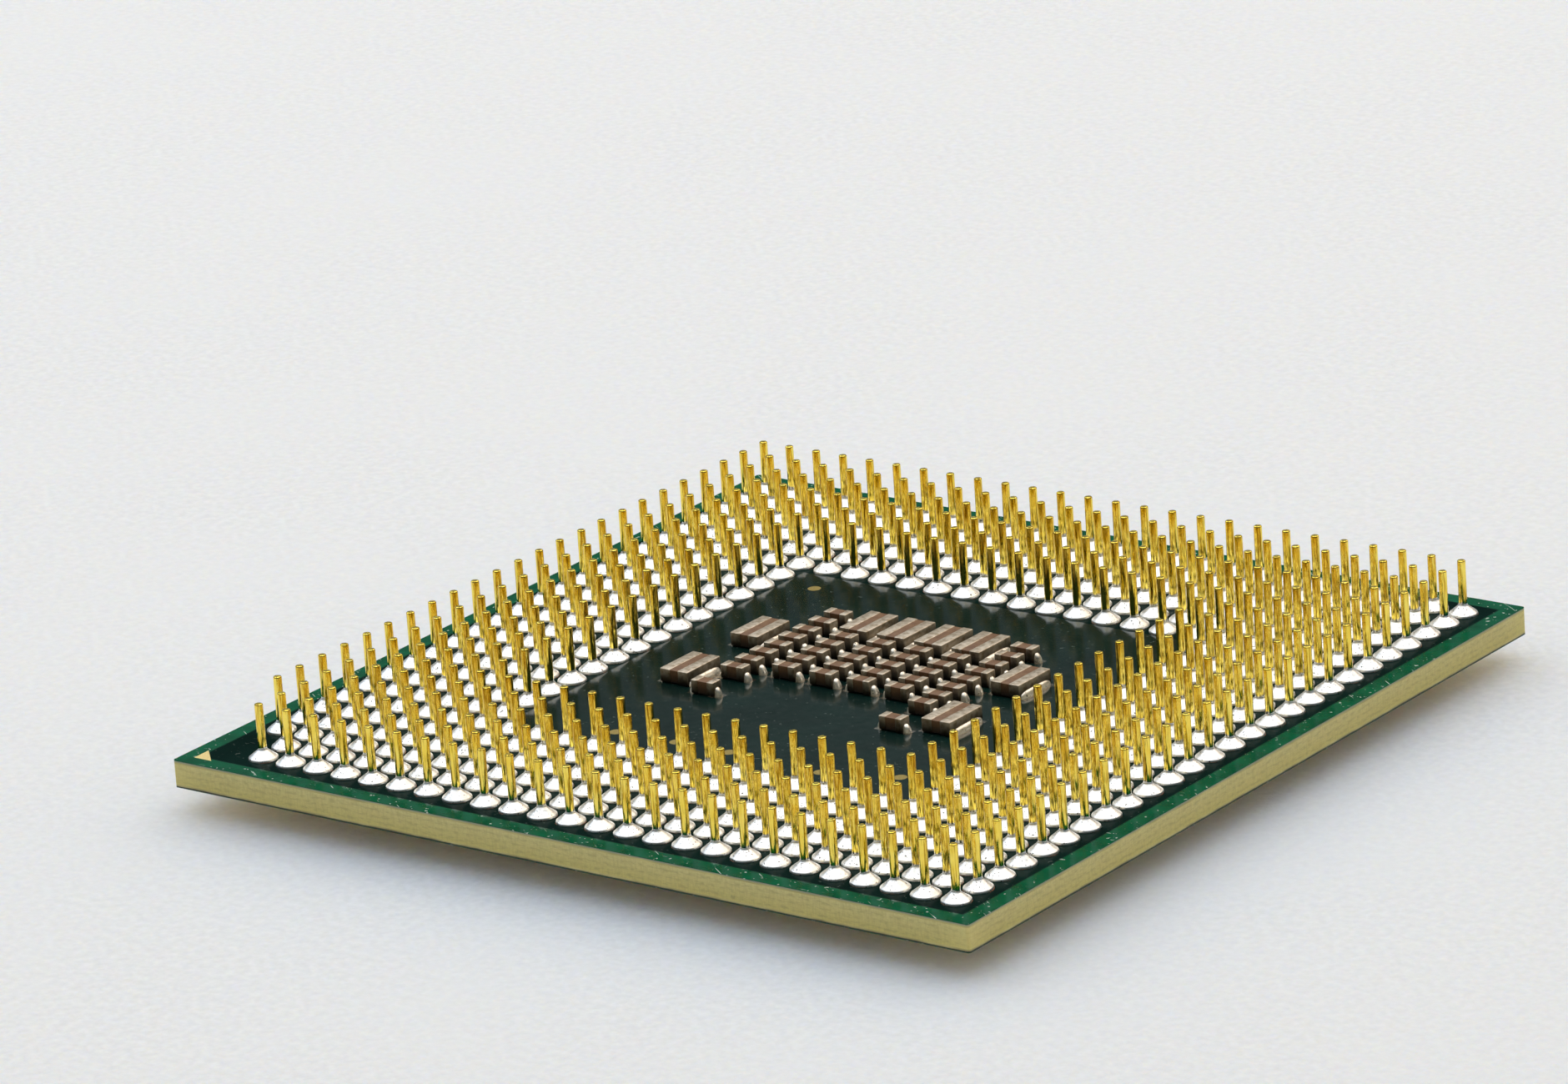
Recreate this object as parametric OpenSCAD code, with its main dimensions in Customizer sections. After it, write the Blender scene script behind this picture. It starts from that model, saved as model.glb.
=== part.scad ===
// Bare-die mobile processor in a micro pin-grid-array package.
// It lies pins up: the back of the die is on the table at z = 0, the pins point along +Z, and the
// origin is under the middle of the board. The pin-one corner, where two pins are left out, is at (-X, -Y).

/* [Board] */
// Length of each side of the square board
board_w = 35; // [34.6:0.1:35.4]
// Radius of the board's upright corners
corner_r = 0.12; // [0.05:0.01:0.3]
// Thickness of the laminate core, which carries the other layers
core_t = 0.78; // [0.6:0.02:0.9]
// Thickness of the resin built up on each face of the core
build_up_t = 0.108; // [0.08:0.002:0.15]
// Thickness of the copper plane under each built-up resin
plane_t = 0.018; // [0.012:0.002:0.03]
// Bare resin left between a copper plane and the edges of the board
plane_inset = 0.68; // [0.5:0.02:1]
// Thickness of the solder mask, and of the pads that lie flush in its openings
mask_t = 0.02; // [0.015:0.005:0.03]
// Diameter of the copper-filled holes that join the two faces of the core
via_d = 0.3; // [0.2:0.05:0.4]

/* [Pins] */
// Number of pin places along each side of the grid
pin_n = 26; // [22:1:26]
// Distance between neighbouring pins
pin_pitch = 1.27; // [1.25:0.01:1.27]
// Number of places along each side of the empty middle of the grid
void_n = 14; // [14:2:16]
// Number of pins left out of the pin-one corner, along its first column
missing_n = 2; // [1:1:3]
// Height of the pin tips above the board
pin_h = 2.08; // [1.95:0.01:2.11]
// Diameter of a pin where it stands clear of its solder
pin_d = 0.31; // [0.28:0.01:0.33]
// Diameter of a pin at its foot, where the solder has eaten the plating
pin_foot_d = 0.3; // [0.26:0.01:0.31]
// Chamfer round the tip of a pin
pin_chamfer = 0.03; // [0.01:0.01:0.05]
// Diameter of the flat head that each pin stands on, inside its solder
head_d = 0.64; // [0.5:0.02:0.7]
// Thickness of that head
head_t = 0.08; // [0.05:0.01:0.1]

/* [Solder] */
// Diameter of the round solder joint at the foot of a pin, and of the pad under it
joint_d = 1.09; // [1.06:0.01:1.12]
// Height that the solder climbs up a pin
joint_h = 0.44; // [0.4:0.01:0.5]
// Diameter of a joint where its steep rim turns into its slope
shoulder_d = 1.06; // [0.98:0.01:1.06]
// Height of that turn
shoulder_h = 0.07; // [0.05:0.01:0.1]
// Diameter of a joint at the foot of its neck
neck_d = 0.35; // [0.34:0.01:0.42]
// Height of the foot of the neck
neck_h = 0.36; // [0.3:0.01:0.38]
// Height of the solder layer that lifts a capacitor off its pads
stand_off = 0.04; // [0.02:0.01:0.06]
// Height that the solder climbs up the end of a capacitor
climb_h = 0.34; // [0.2:0.02:0.4]
// Length of the solder slope in front of the end of a small capacitor
small_slope_l = 0.24; // [0.15:0.01:0.3]
// Length of the solder slope in front of the end of a large capacitor
large_slope_l = 0.18; // [0.1:0.01:0.18]

/* [Capacitors] */
// Size of a small capacitor, from one terminal to the other
small_l = 1; // [0.9:0.05:1.1]
// Width of a small capacitor
small_w = 0.52; // [0.45:0.01:0.6]
// Size of a large capacitor, from one terminal to the other
large_l = 1.25; // [1.1:0.05:1.25]
// Width of a large capacitor along its terminals
large_w = 2; // [1.8:0.1:2.1]
// Height of every capacitor body
cap_h = 0.52; // [0.45:0.01:0.6]
// Width of the band that a terminal wraps over the top of a small capacitor
small_band_w = 0.29; // [0.2:0.01:0.35]
// Width of that band on a large capacitor
large_band_w = 0.45; // [0.3:0.01:0.5]
// Thickness of the metal of a terminal
terminal_t = 0.02; // [0.01:0.01:0.03]
// Distance between neighbouring columns of capacitors
cap_pitch_x = 1.68; // [1.66:0.01:1.75]
// Distance between neighbouring rows of small capacitors
cap_pitch_y = 0.875; // [0.7:0.005:0.9]

/* [Die] */
// Length of the silicon die along X
die_l = 12.4; // [11:0.1:13]
// Length of the silicon die along Y
die_w = 10.6; // [10:0.1:12]
// Thickness of the silicon die
die_t = 0.75; // [0.7:0.01:0.8]
// Height of the solder bumps between the die and the board
bump_h = 0.07; // [0.05:0.01:0.09]
// Diameter of a solder bump, drawn wider than the real ones
bump_d = 0.2; // [0.15:0.01:0.25]
// Distance between bumps, drawn wider than on the real die
bump_pitch = 0.7; // [0.65:0.05:0.9]
// Distance that the underfill runs out past the sides of the die
underfill_run = 1.1; // [0.6:0.1:1.4]
// Height up the side of the die at which the underfill starts
underfill_z = 0.36; // [0.3:0.02:0.5]

/* [Marks] */
// Length of the two short sides of the gold triangle at the pin-one corner
mark_l = 0.8; // [0.6:0.05:1]
// Distance of that triangle from the two edges of the board
mark_inset = 0.55; // [0.4:0.05:0.7]
// Diameter of the round gold test pads
test_pad_d = 0.5; // [0.4:0.05:0.6]

/* [Hidden] */
$fn = 32;
ROW_NAMES = ["a", "b", "c", "d", "e", "f", "g", "h", "j", "k", "l", "m", "n", "p",
    "r", "t", "u", "v", "w", "y", "aa", "ab", "ac", "ad", "ae", "af"];

// Heights of the layers, from the table upwards
mask_low_z = die_t + bump_h;
build_up_low_z = mask_low_z + mask_t;
core_z = build_up_low_z + build_up_t;
build_up_top_z = core_z + core_t;
mask_top_z = build_up_top_z + build_up_t;
top_z = mask_top_z + mask_t;
plane_w = board_w - 2 * plane_inset;

// Pin places are counted from the pin-one corner: column i along X, row j along Y
function pin_at(i) = (i - (pin_n - 1) / 2) * pin_pitch;
void_lo = (pin_n - void_n) / 2;
void_hi = void_lo + void_n - 1;
function in_void(i) = i >= void_lo && i <= void_hi;
function has_pin(i, j) = !(in_void(i) && in_void(j)) && !(i == 0 && j < missing_n);
function row_pins(j) = [for (i = [0 : pin_n - 1]) if (has_pin(i, j)) [pin_at(i), pin_at(j)]];
pin_places = [for (j = [0 : pin_n - 1]) each row_pins(j)];

// Places of the small capacitors: six columns of five, and more in the two outer columns
cap_columns = 6;
function column_x(c) = (c - (cap_columns - 1) / 2) * cap_pitch_x;
small_mid_y = 1.05;
outer_pair_y = [3.77, 4.74];
lone_y = -3.35;
small_rows = [for (r = [-2 : 2]) small_mid_y + r * cap_pitch_y];
outer_rows = concat([small_mid_y - 3 * cap_pitch_y, lone_y], outer_pair_y);
small_places = concat(
    [for (c = [0 : cap_columns - 1], y = small_rows) [column_x(c), y]],
    [for (c = [0, cap_columns - 1], y = outer_rows) [column_x(c), y]]);

// Places of the large capacitors: four above the inner columns, and two at each side
large_row_y = 4.35;
large_side_x = column_x(cap_columns - 1) + 1.65;
large_side_y = 2.12;
large_places = concat(
    [for (c = [1 : cap_columns - 2]) [column_x(c), large_row_y]],
    [for (sx = [-1, 1], sy = [-1, 1]) [sx * large_side_x, sy * large_side_y]]);

// A capacitor's pads reach from under its terminals to the foot of the solder in front of them
cap_z = top_z + stand_off;
pad_rim = 0.02;
small_pad_w = small_w - 0.04;
large_pad_w = large_w - 0.1;
slope_steps = 4;

// Round test pads in the empty middle of the grid
test_pad_places = [[-4.75, -8], [-2.15, -7.85], [0.2, -7.85], [4.35, -8], [7.2, -7.15], [-7.5, 7.65]];

// Copper-filled core holes stand between the pins, on every second gap of the grid
via_places = [for (i = [1 : 2 : pin_n - 1], j = [1 : 2 : pin_n - 1])
    [pin_at(i) - pin_pitch / 2, pin_at(j) - pin_pitch / 2]];

// Bumps fill the face of the die up to a bare margin
bump_margin = 0.5;
bump_nx = floor((die_l - 2 * bump_margin) / bump_pitch);
bump_ny = floor((die_w - 2 * bump_margin) / bump_pitch);
bump_places = [for (i = [0 : bump_nx], j = [0 : bump_ny])
    [(i - bump_nx / 2) * bump_pitch, (j - bump_ny / 2) * bump_pitch]];

// A square layer with round corners
module slab(w, z, t) {
    straight = w - 2 * corner_r;
    translate([0, 0, z]) {
        translate([-w / 2, -straight / 2, 0]) cube([w, straight, t]);
        translate([-straight / 2, -w / 2, 0]) cube([straight, w, t]);
        for (sx = [-1, 1], sy = [-1, 1])
            translate([sx * straight / 2, sy * straight / 2, 0]) cylinder(h = t, r = corner_r);
    }
}

module discs(places, d, z, t) {
    for (p = places) translate([p.x, p.y, z]) cylinder(h = t, d = d);
}

// One solid per pin, standing on its head: a neck inside the solder, a straight shaft and a chamfered tip
module pin() {
    rotate_extrude() polygon([
        [0, head_t],
        [pin_foot_d / 2, head_t],
        [pin_d / 2, joint_h],
        [pin_d / 2, pin_h - pin_chamfer],
        [pin_d / 2 - pin_chamfer, pin_h],
        [0, pin_h]]);
}

module pin_row(j) {
    color("goldenrod") for (p = row_pins(j)) translate([p.x, p.y, top_z]) pin();
}

module pin_heads() {
    color("darkgoldenrod") discs(pin_places, head_d, top_z, head_t);
}

module pin_pads() {
    color("peru") discs(pin_places, joint_d, mask_top_z, mask_t);
}

// Solder round a pin: a steep rim, a slope and a thin neck, closed over the flat head
module solder_joint() {
    rotate_extrude() polygon([
        [joint_d / 2, 0],
        [shoulder_d / 2, shoulder_h],
        [neck_d / 2, neck_h],
        [pin_d / 2, joint_h],
        [pin_foot_d / 2, head_t],
        [head_d / 2, head_t],
        [head_d / 2, 0]]);
}

module pin_solder() {
    color("white") for (p = pin_places) translate([p.x, p.y, top_z]) solder_joint();
}

module laminate_core() {
    color("darkkhaki") difference() {
        slab(board_w, core_z, core_t);
        discs(via_places, via_d, core_z - 1, core_t + 2);
    }
}

module core_vias() {
    color("sienna") discs(via_places, via_d, core_z, core_t);
}

module copper_plane_pin_side() {
    color("chocolate") slab(plane_w, build_up_top_z, plane_t);
}

module copper_plane_die_side() {
    color("chocolate") slab(plane_w, core_z - plane_t, plane_t);
}

module build_up_pin_side() {
    color("tan") difference() {
        slab(board_w, build_up_top_z, build_up_t);
        translate([0, 0, -1]) slab(plane_w, build_up_top_z, plane_t + 1);
    }
}

module build_up_die_side() {
    color("tan") difference() {
        slab(board_w, build_up_low_z, build_up_t);
        slab(plane_w, core_z - plane_t, plane_t + 1);
    }
}

// The triangle's right angle points at the pin-one corner
module mark(z, t) {
    corner = -board_w / 2 + mark_inset;
    translate([corner, corner, z]) linear_extrude(t) polygon([[0, 0], [mark_l, 0], [0, mark_l]]);
}

// The two pads of each capacitor that is l long and has terminals band wide and pads w wide
module pad_pairs(places, l, w, band, slope_l, z, t) {
    for (p = places, side = [0, 1]) translate([p.x, p.y, z]) mirror([side, 0, 0])
        translate([l / 2 - band, -w / 2, 0]) cube([band + slope_l + pad_rim, w, t]);
}

module cap_pads(z, t) {
    pad_pairs(small_places, small_l, small_pad_w, small_band_w, small_slope_l, z, t);
    pad_pairs(large_places, large_l, large_pad_w, large_band_w, large_slope_l, z, t);
}

module solder_mask_pin_side() {
    color("darkslategray") difference() {
        slab(board_w, mask_top_z, mask_t);
        discs(pin_places, joint_d, mask_top_z - 1, mask_t + 2);
        discs(test_pad_places, test_pad_d, mask_top_z - 1, mask_t + 2);
        cap_pads(mask_top_z - 1, mask_t + 2);
        mark(mask_top_z - 1, mask_t + 2);
    }
}

module solder_mask_die_side() {
    color("darkgreen") difference() {
        slab(board_w, mask_low_z, mask_t);
        discs(bump_places, bump_d, mask_low_z - 1, mask_t + 2);
    }
}

module pin_one_mark() {
    color("gold") mark(mask_top_z, mask_t);
}

module test_pads() {
    color("gold") discs(test_pad_places, test_pad_d, mask_top_z, mask_t);
}

// The ceramic block inside a capacitor's terminals
module cap_body(l, w) {
    translate([-l / 2 + terminal_t, -w / 2 + terminal_t, cap_z + terminal_t])
        cube([l - 2 * terminal_t, w - 2 * terminal_t, cap_h - 2 * terminal_t]);
}

// Two metal caps that wrap the ends of the block
module cap_terminals(l, w, band) {
    for (side = [0, 1]) mirror([side, 0, 0]) difference() {
        translate([l / 2 - band, -w / 2, cap_z]) cube([band, w, cap_h]);
        cap_body(l, w);
    }
}

module small_capacitor_bodies() {
    color("saddlebrown") for (p = small_places) translate([p.x, p.y, 0]) cap_body(small_l, small_w);
}

module small_capacitor_terminals() {
    color("silver") for (p = small_places) translate([p.x, p.y, 0]) cap_terminals(small_l, small_w, small_band_w);
}

module large_capacitor_bodies() {
    color("saddlebrown") for (p = large_places) translate([p.x, p.y, 0]) cap_body(large_l, large_w);
}

module large_capacitor_terminals() {
    color("silver") for (p = large_places) translate([p.x, p.y, 0]) cap_terminals(large_l, large_w, large_band_w);
}

module capacitor_pads() {
    color("peru") cap_pads(mask_top_z, mask_t);
}

// Solder under one terminal and in a dished slope in front of it, drawn in the XZ plane
module end_solder(l, w, band, slope_l) {
    slope = [for (s = [0 : slope_steps]) [
        l / 2 + slope_l * (1 - sin(90 * s / slope_steps)),
        climb_h * (1 - cos(90 * s / slope_steps))]];
    translate([0, w / 2, 0]) rotate([90, 0, 0]) linear_extrude(w) polygon(concat(
        [[l / 2 - band, 0]],
        slope,
        [[l / 2, stand_off], [l / 2 - band, stand_off]]));
}

module capacitor_solder() {
    color("white") {
        for (p = small_places, side = [0, 1]) translate([p.x, p.y, top_z]) mirror([side, 0, 0])
            end_solder(small_l, small_pad_w, small_band_w, small_slope_l);
        for (p = large_places, side = [0, 1]) translate([p.x, p.y, top_z]) mirror([side, 0, 0])
            end_solder(large_l, large_pad_w, large_band_w, large_slope_l);
    }
}

module silicon_die() {
    color("slategray") translate([-die_l / 2, -die_w / 2, 0]) cube([die_l, die_w, die_t]);
}

module die_bumps() {
    color("lightgray") discs(bump_places, bump_d, die_t, bump_h);
}

module bump_pads() {
    color("peru") discs(bump_places, bump_d, mask_low_z, mask_t);
}

// Resin that fills the gap over the die and slopes down round its sides
module underfill() {
    color("midnightblue") difference() {
        hull() {
            translate([-die_l / 2, -die_w / 2, underfill_z]) cube([die_l, die_w, 0.01]);
            translate([-die_l / 2 - underfill_run, -die_w / 2 - underfill_run, mask_low_z - 0.03])
                cube([die_l + 2 * underfill_run, die_w + 2 * underfill_run, 0.03]);
        }
        translate([-die_l / 2, -die_w / 2, 0]) cube([die_l, die_w, die_t]);
        discs(bump_places, bump_d, 0, die_t + 1);
    }
}

for (j = [0 : pin_n - 1])
    pin_row(j);
pin_heads();
pin_pads();
pin_solder();
laminate_core();
core_vias();
copper_plane_pin_side();
copper_plane_die_side();
build_up_pin_side();
build_up_die_side();
solder_mask_pin_side();
solder_mask_die_side();
pin_one_mark();
test_pads();
small_capacitor_bodies();
small_capacitor_terminals();
large_capacitor_bodies();
large_capacitor_terminals();
capacitor_pads();
capacitor_solder();
silicon_die();
die_bumps();
bump_pads();
underfill();
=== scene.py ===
"""Looks for a bare-die processor that lies pins up: gold pins in bright solder, a dark lacquered board with
a pale cut edge, small ceramic capacitors, and the silicon die underneath. Everything is in metres, in the
frame of the CAD model."""

import math
import random

import bmesh
import bpy
from bpy.props import FloatProperty, FloatVectorProperty, IntProperty, PointerProperty
from mathutils import Matrix, Vector


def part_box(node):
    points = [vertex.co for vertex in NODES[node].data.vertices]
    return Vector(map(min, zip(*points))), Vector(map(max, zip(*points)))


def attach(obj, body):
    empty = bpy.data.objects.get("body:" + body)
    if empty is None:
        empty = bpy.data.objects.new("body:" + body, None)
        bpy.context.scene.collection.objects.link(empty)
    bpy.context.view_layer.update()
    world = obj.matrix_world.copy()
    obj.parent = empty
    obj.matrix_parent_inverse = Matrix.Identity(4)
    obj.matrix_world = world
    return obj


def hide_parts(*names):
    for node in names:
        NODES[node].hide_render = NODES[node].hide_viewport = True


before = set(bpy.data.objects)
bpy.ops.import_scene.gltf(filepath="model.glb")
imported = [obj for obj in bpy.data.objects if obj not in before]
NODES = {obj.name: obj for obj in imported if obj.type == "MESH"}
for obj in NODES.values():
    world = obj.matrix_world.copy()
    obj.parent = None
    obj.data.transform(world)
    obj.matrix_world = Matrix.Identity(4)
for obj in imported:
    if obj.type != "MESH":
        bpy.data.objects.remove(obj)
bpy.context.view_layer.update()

bl_info = {
    "name": "Pin Grid Processor",
    "version": (1, 0, 0),
    "blender": (4, 5, 0),
    "location": "3D View > Sidebar > Processor",
    "description": "Builds the looks of a pin-grid processor round its CAD frame",
    "category": "Object",
}

MM = 0.001


# ---------------------------------------------------------------- places, read from the CAD frame


def solid_boxes(node):
    """The box of each separate solid of a CAD node, as (lowest corner, highest corner), in the order of x,
    then y."""
    bm = bmesh.new()
    bm.from_mesh(NODES[node].data)
    bmesh.ops.remove_doubles(bm, verts=bm.verts, dist=0.0005 * MM)
    bm.verts.ensure_lookup_table()
    seen, boxes = set(), []
    for start in bm.verts:
        if start.index in seen:
            continue
        seen.add(start.index)
        island, todo = [], [start]
        while todo:
            vert = todo.pop()
            island.append(vert.co)
            for edge in vert.link_edges:
                other = edge.other_vert(vert)
                if other.index not in seen:
                    seen.add(other.index)
                    todo.append(other)
        low = Vector([min(co[i] for co in island) for i in range(3)])
        high = Vector([max(co[i] for co in island) for i in range(3)])
        boxes.append((low, high))
    bm.free()
    return sorted(boxes, key=lambda b: (round(b[0].x, 6), round(b[0].y, 6)))


def middle(box):
    return (box[0] + box[1]) / 2


PIN_ROWS = [n for n in NODES if n.startswith("pin_row_")]
PINS = {row: [middle(b) for b in solid_boxes(row)] for row in PIN_ROWS}
FIRST_PIN = solid_boxes("pin_row_c")[0]
PIN_R = (FIRST_PIN[1].x - FIRST_PIN[0].x) / 2
PIN_TOP = FIRST_PIN[1].z
BOARD_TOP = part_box("pin_solder")[0].z
JOINT_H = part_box("pin_solder")[1].z - BOARD_TOP
JOINT_R = PIN_R + FIRST_PIN[0].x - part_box("pin_solder")[0].x
HALF_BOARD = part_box("laminate_core")[1].x
HALF_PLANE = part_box("copper_plane_pin_side")[1].x
CORE_LOW, CORE_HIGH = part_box("laminate_core")[0].z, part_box("laminate_core")[1].z
# Half the width of the empty middle of the pin grid, up to the rims of the joints round it.
PIN_FIELD = min(abs(place.x) for place in PINS["pin_row_n"]) - JOINT_R


# ---------------------------------------------------------------- settings a user would change


def linear(colour):
    """An sRGB hex string as the linear colour that a shader takes."""
    parts = [int(colour[i : i + 2], 16) / 255 for i in (1, 3, 5)]
    return (*[c / 12.92 if c <= 0.04045 else ((c + 0.055) / 1.055) ** 2.4 for c in parts], 1.0)


class ProcessorSettings(bpy.types.PropertyGroup):
    """Sizes and colours of the object's own pieces"""

    pin_sides: IntProperty(name="Pin sides", description="Sides round each pin", default=28, min=12, max=64)
    pin_lean: FloatProperty(
        name="Pin lean", description="Most that a pin leans", default=math.radians(0.5), subtype="ANGLE",
        unit="ROTATION")
    pin_dimple: FloatProperty(
        name="Tip dimple", description="Depth of the hollow in a pin's cut end", default=0.006 * MM,
        unit="LENGTH", precision=6)
    joint_sides: IntProperty(
        name="Joint sides", description="Sides round each solder joint", default=32, min=12, max=64)
    joint_wobble: FloatProperty(
        name="Joint wobble", description="How uneven the rim of a solder joint is, as a share of its radius",
        default=0.012, subtype="FACTOR")
    cap_round: FloatProperty(
        name="Capacitor rounding", description="Radius of a capacitor's worn edges", default=0.035 * MM,
        unit="LENGTH", precision=6)
    gold: FloatVectorProperty(
        name="Gold", description="Colour of the plating on the pins", subtype="COLOR",
        default=linear("#FFE66C")[:3])
    mask_dark: FloatVectorProperty(
        name="Lacquer over copper", description="Colour of the solder mask over the copper plane",
        subtype="COLOR", default=linear("#0C1F1B")[:3])
    mask_green: FloatVectorProperty(
        name="Lacquer over resin", description="Colour of the solder mask along the board's edges",
        subtype="COLOR", default=linear("#03603F")[:3])
    laminate: FloatVectorProperty(
        name="Laminate", description="Colour of the cut edge of the board", subtype="COLOR",
        default=linear("#E9DC94")[:3])


class StageSettings(bpy.types.PropertyGroup):
    """Camera, floor and lights"""

    azimuth: FloatProperty(
        name="Azimuth", description="Direction of the camera round the object", default=math.radians(38.01),
        subtype="ANGLE", unit="ROTATION")
    elevation: FloatProperty(
        name="Elevation", description="Height of the camera above the horizon", default=math.radians(18.85),
        subtype="ANGLE", unit="ROTATION")
    roll: FloatProperty(
        name="Roll", description="Turn of the camera about its own axis", default=math.radians(-4.07),
        subtype="ANGLE", unit="ROTATION")
    distance: FloatProperty(
        name="Distance", description="From the middle of the board to the camera", default=307.97 * MM,
        unit="LENGTH")
    shift_right: FloatProperty(
        name="Aim right", description="How far the camera stands to its own right", default=-2.568 * MM,
        unit="LENGTH")
    shift_up: FloatProperty(
        name="Aim up", description="How far the camera stands above the line to the board",
        default=5.078 * MM, unit="LENGTH")
    lens: FloatProperty(
        name="Lens", description="Focal length, in millimetres on a 36 mm sensor", default=195.9, min=20,
        max=400)
    paper: FloatVectorProperty(
        name="Paper", description="Colour of the floor", subtype="COLOR", default=linear("#E9E8E6")[:3])
    overhead: FloatProperty(
        name="Overhead light",
        description="Radiance of the softbox above, where white paper in full light is 1", default=1.9, min=0)
    windows: FloatProperty(
        name="Window light", description="Radiance of the two softboxes behind the object", default=1.7,
        min=0)
    horizon: FloatVectorProperty(
        name="Horizon", description="Colour of the room near the floor", subtype="COLOR",
        default=linear("#3D4645")[:3])
    ceiling: FloatVectorProperty(
        name="Ceiling", description="Colour of the room overhead", subtype="COLOR",
        default=linear("#F1F5F9")[:3])
    ceiling_lean: FloatProperty(
        name="Ceiling lean", description="How far the bright part of the room leans away from the camera",
        default=math.radians(12), subtype="ANGLE", unit="ROTATION")


# ---------------------------------------------------------------- shader building


def shade(colour, red, green, blue):
    """A linear colour with each of its parts multiplied."""
    return (colour[0] * red, colour[1] * green, colour[2] * blue, 1.0)


def add(tree, kind, settings=None, inputs=None):
    """Adds a shader node, sets its settings, and sets or links its inputs, which are named or numbered."""
    node = tree.nodes.new("ShaderNode" + kind)
    for name, value in (settings or {}).items():
        setattr(node, name, value)
    for name, value in (inputs or {}).items():
        if isinstance(value, bpy.types.NodeSocket):
            tree.links.new(value, node.inputs[name])
        else:
            node.inputs[name].default_value = value
    return node


def per_metre(size_mm):
    """The scale that makes a pattern repeat about every size_mm."""
    return 1 / (size_mm * MM)


def begin(name):
    """A new material with a Principled shader, and the point in the CAD frame that its patterns read."""
    material = bpy.data.materials.new(name)
    material.use_nodes = True
    tree = material.node_tree
    tree.nodes.clear()
    shader = add(tree, "BsdfPrincipled")
    add(tree, "OutputMaterial", inputs={"Surface": shader.outputs["BSDF"]})
    point = add(tree, "TexCoord").outputs["Object"]
    return material, tree, shader, point


def speckle(tree, point, size_mm, low, high, detail=2.0, stretch=(1, 1, 1), turn=0.0):
    """Noise of about size_mm, spread to run from 0 at low to 1 at high. A stretch under 1 draws it out,
    after a turn about Z."""
    if turn:
        point = add(tree, "Mapping", inputs={"Vector": point, "Rotation": (0, 0, turn)}).outputs["Vector"]
    if stretch != (1, 1, 1):
        point = add(tree, "Mapping", inputs={"Vector": point, "Scale": stretch}).outputs["Vector"]
    noise = add(tree, "TexNoise", inputs={"Vector": point, "Scale": per_metre(size_mm), "Detail": detail})
    return add(tree, "MapRange", inputs={
        "Value": noise.outputs["Fac"], "From Min": low, "From Max": high}).outputs[0]


def mix(tree, factor, a, b):
    """Colour a where factor is 0 and b where it is 1."""
    return add(tree, "Mix", {"data_type": "RGBA"}, {0: factor, 6: a, 7: b}).outputs[2]


def ramp(tree, value, low, high, out_low, out_high):
    """Value, moved from the span low to high onto the span out_low to out_high."""
    return add(tree, "MapRange", inputs={
        "Value": value, "From Min": low, "From Max": high, "To Min": out_low, "To Max": out_high}).outputs[0]


def bump(tree, height, depth_mm, strength=1.0, normal=None):
    inputs = {"Height": height, "Distance": depth_mm * MM, "Strength": strength}
    if normal:
        inputs["Normal"] = normal
    return add(tree, "Bump", inputs=inputs).outputs["Normal"]


def dress(shader, tree, values):
    """Sets or links the Principled shader's own sockets."""
    for name, value in values.items():
        if isinstance(value, bpy.types.NodeSocket):
            tree.links.new(value, shader.inputs[name])
        else:
            shader.inputs[name].default_value = value


# ---------------------------------------------------------------- materials


def drawn_gold_plating(colour):
    """Nickel-gold plating on drawn wire: mirror bright, with fine draw lines along the pin and a slightly
    uneven tint. Low on the pin the gold has gone into the solder, which leaves grey tinned metal."""
    material, tree, shader, point = begin("drawn_gold_plating")
    # Draw lines are a few micrometres apart; these are 0.06 mm, so that they show.
    lines = speckle(tree, point, 0.06, 0.34, 0.66, detail=3, stretch=(1, 1, 0.06))
    tint = speckle(tree, point, 0.6, 0.35, 0.65)
    gold = mix(tree, tint, (*colour, 1.0), shade(colour, 0.95, 0.88, 0.6))
    gold = mix(tree, ramp(tree, lines, 0.5, 0.95, 0, 0.9), gold, shade(colour, 0.50, 0.36, 0.14))
    z = add(tree, "SeparateXYZ", inputs={0: point}).outputs["Z"]
    edge = speckle(tree, point, 0.25, 0.3, 0.7)
    level = add(tree, "Math", {"operation": "MULTIPLY_ADD"}, {0: edge, 1: 0.09 * MM, 2: z}).outputs[0]
    wet = ramp(tree, level, BOARD_TOP + JOINT_H + 0.03 * MM, BOARD_TOP + JOINT_H + 0.1 * MM, 1, 0)
    rough = ramp(tree, lines, 0, 1, 0.06, 0.13)
    dress(shader, tree, {
        "Base Color": mix(tree, wet, gold, linear("#A9A69A")),
        "Metallic": 1.0,
        "Roughness": rough,
        "Normal": bump(tree, lines, 0.008, 0.8),
    })
    return material


def reflowed_solder(name, bright, dull, smooth, frosted, metal=1.0):
    """Tin-lead solder that has melted and set: bright and nearly white, softly reflecting, with fine wrinkles
    where it froze, a few dark specks of flux and slightly greyer patches. Where it set slowly it's frosted
    and partly chalky."""
    material, tree, shader, point = begin(name)
    wrinkles = speckle(tree, point, 0.09, 0.3, 0.7, detail=4)
    specks = speckle(tree, point, 0.075, 0.655, 0.69, detail=2)
    patches = speckle(tree, point, 0.5, 0.4, 0.7)
    body = mix(tree, patches, linear(bright), linear(dull))
    dress(shader, tree, {
        "Base Color": mix(tree, specks, body, linear("#3A332B")),
        "Metallic": metal,
        "Roughness": ramp(tree, wrinkles, 0, 1, smooth, frosted),
        "Normal": bump(tree, wrinkles, 0.006, 0.6),
    })
    return material


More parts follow.
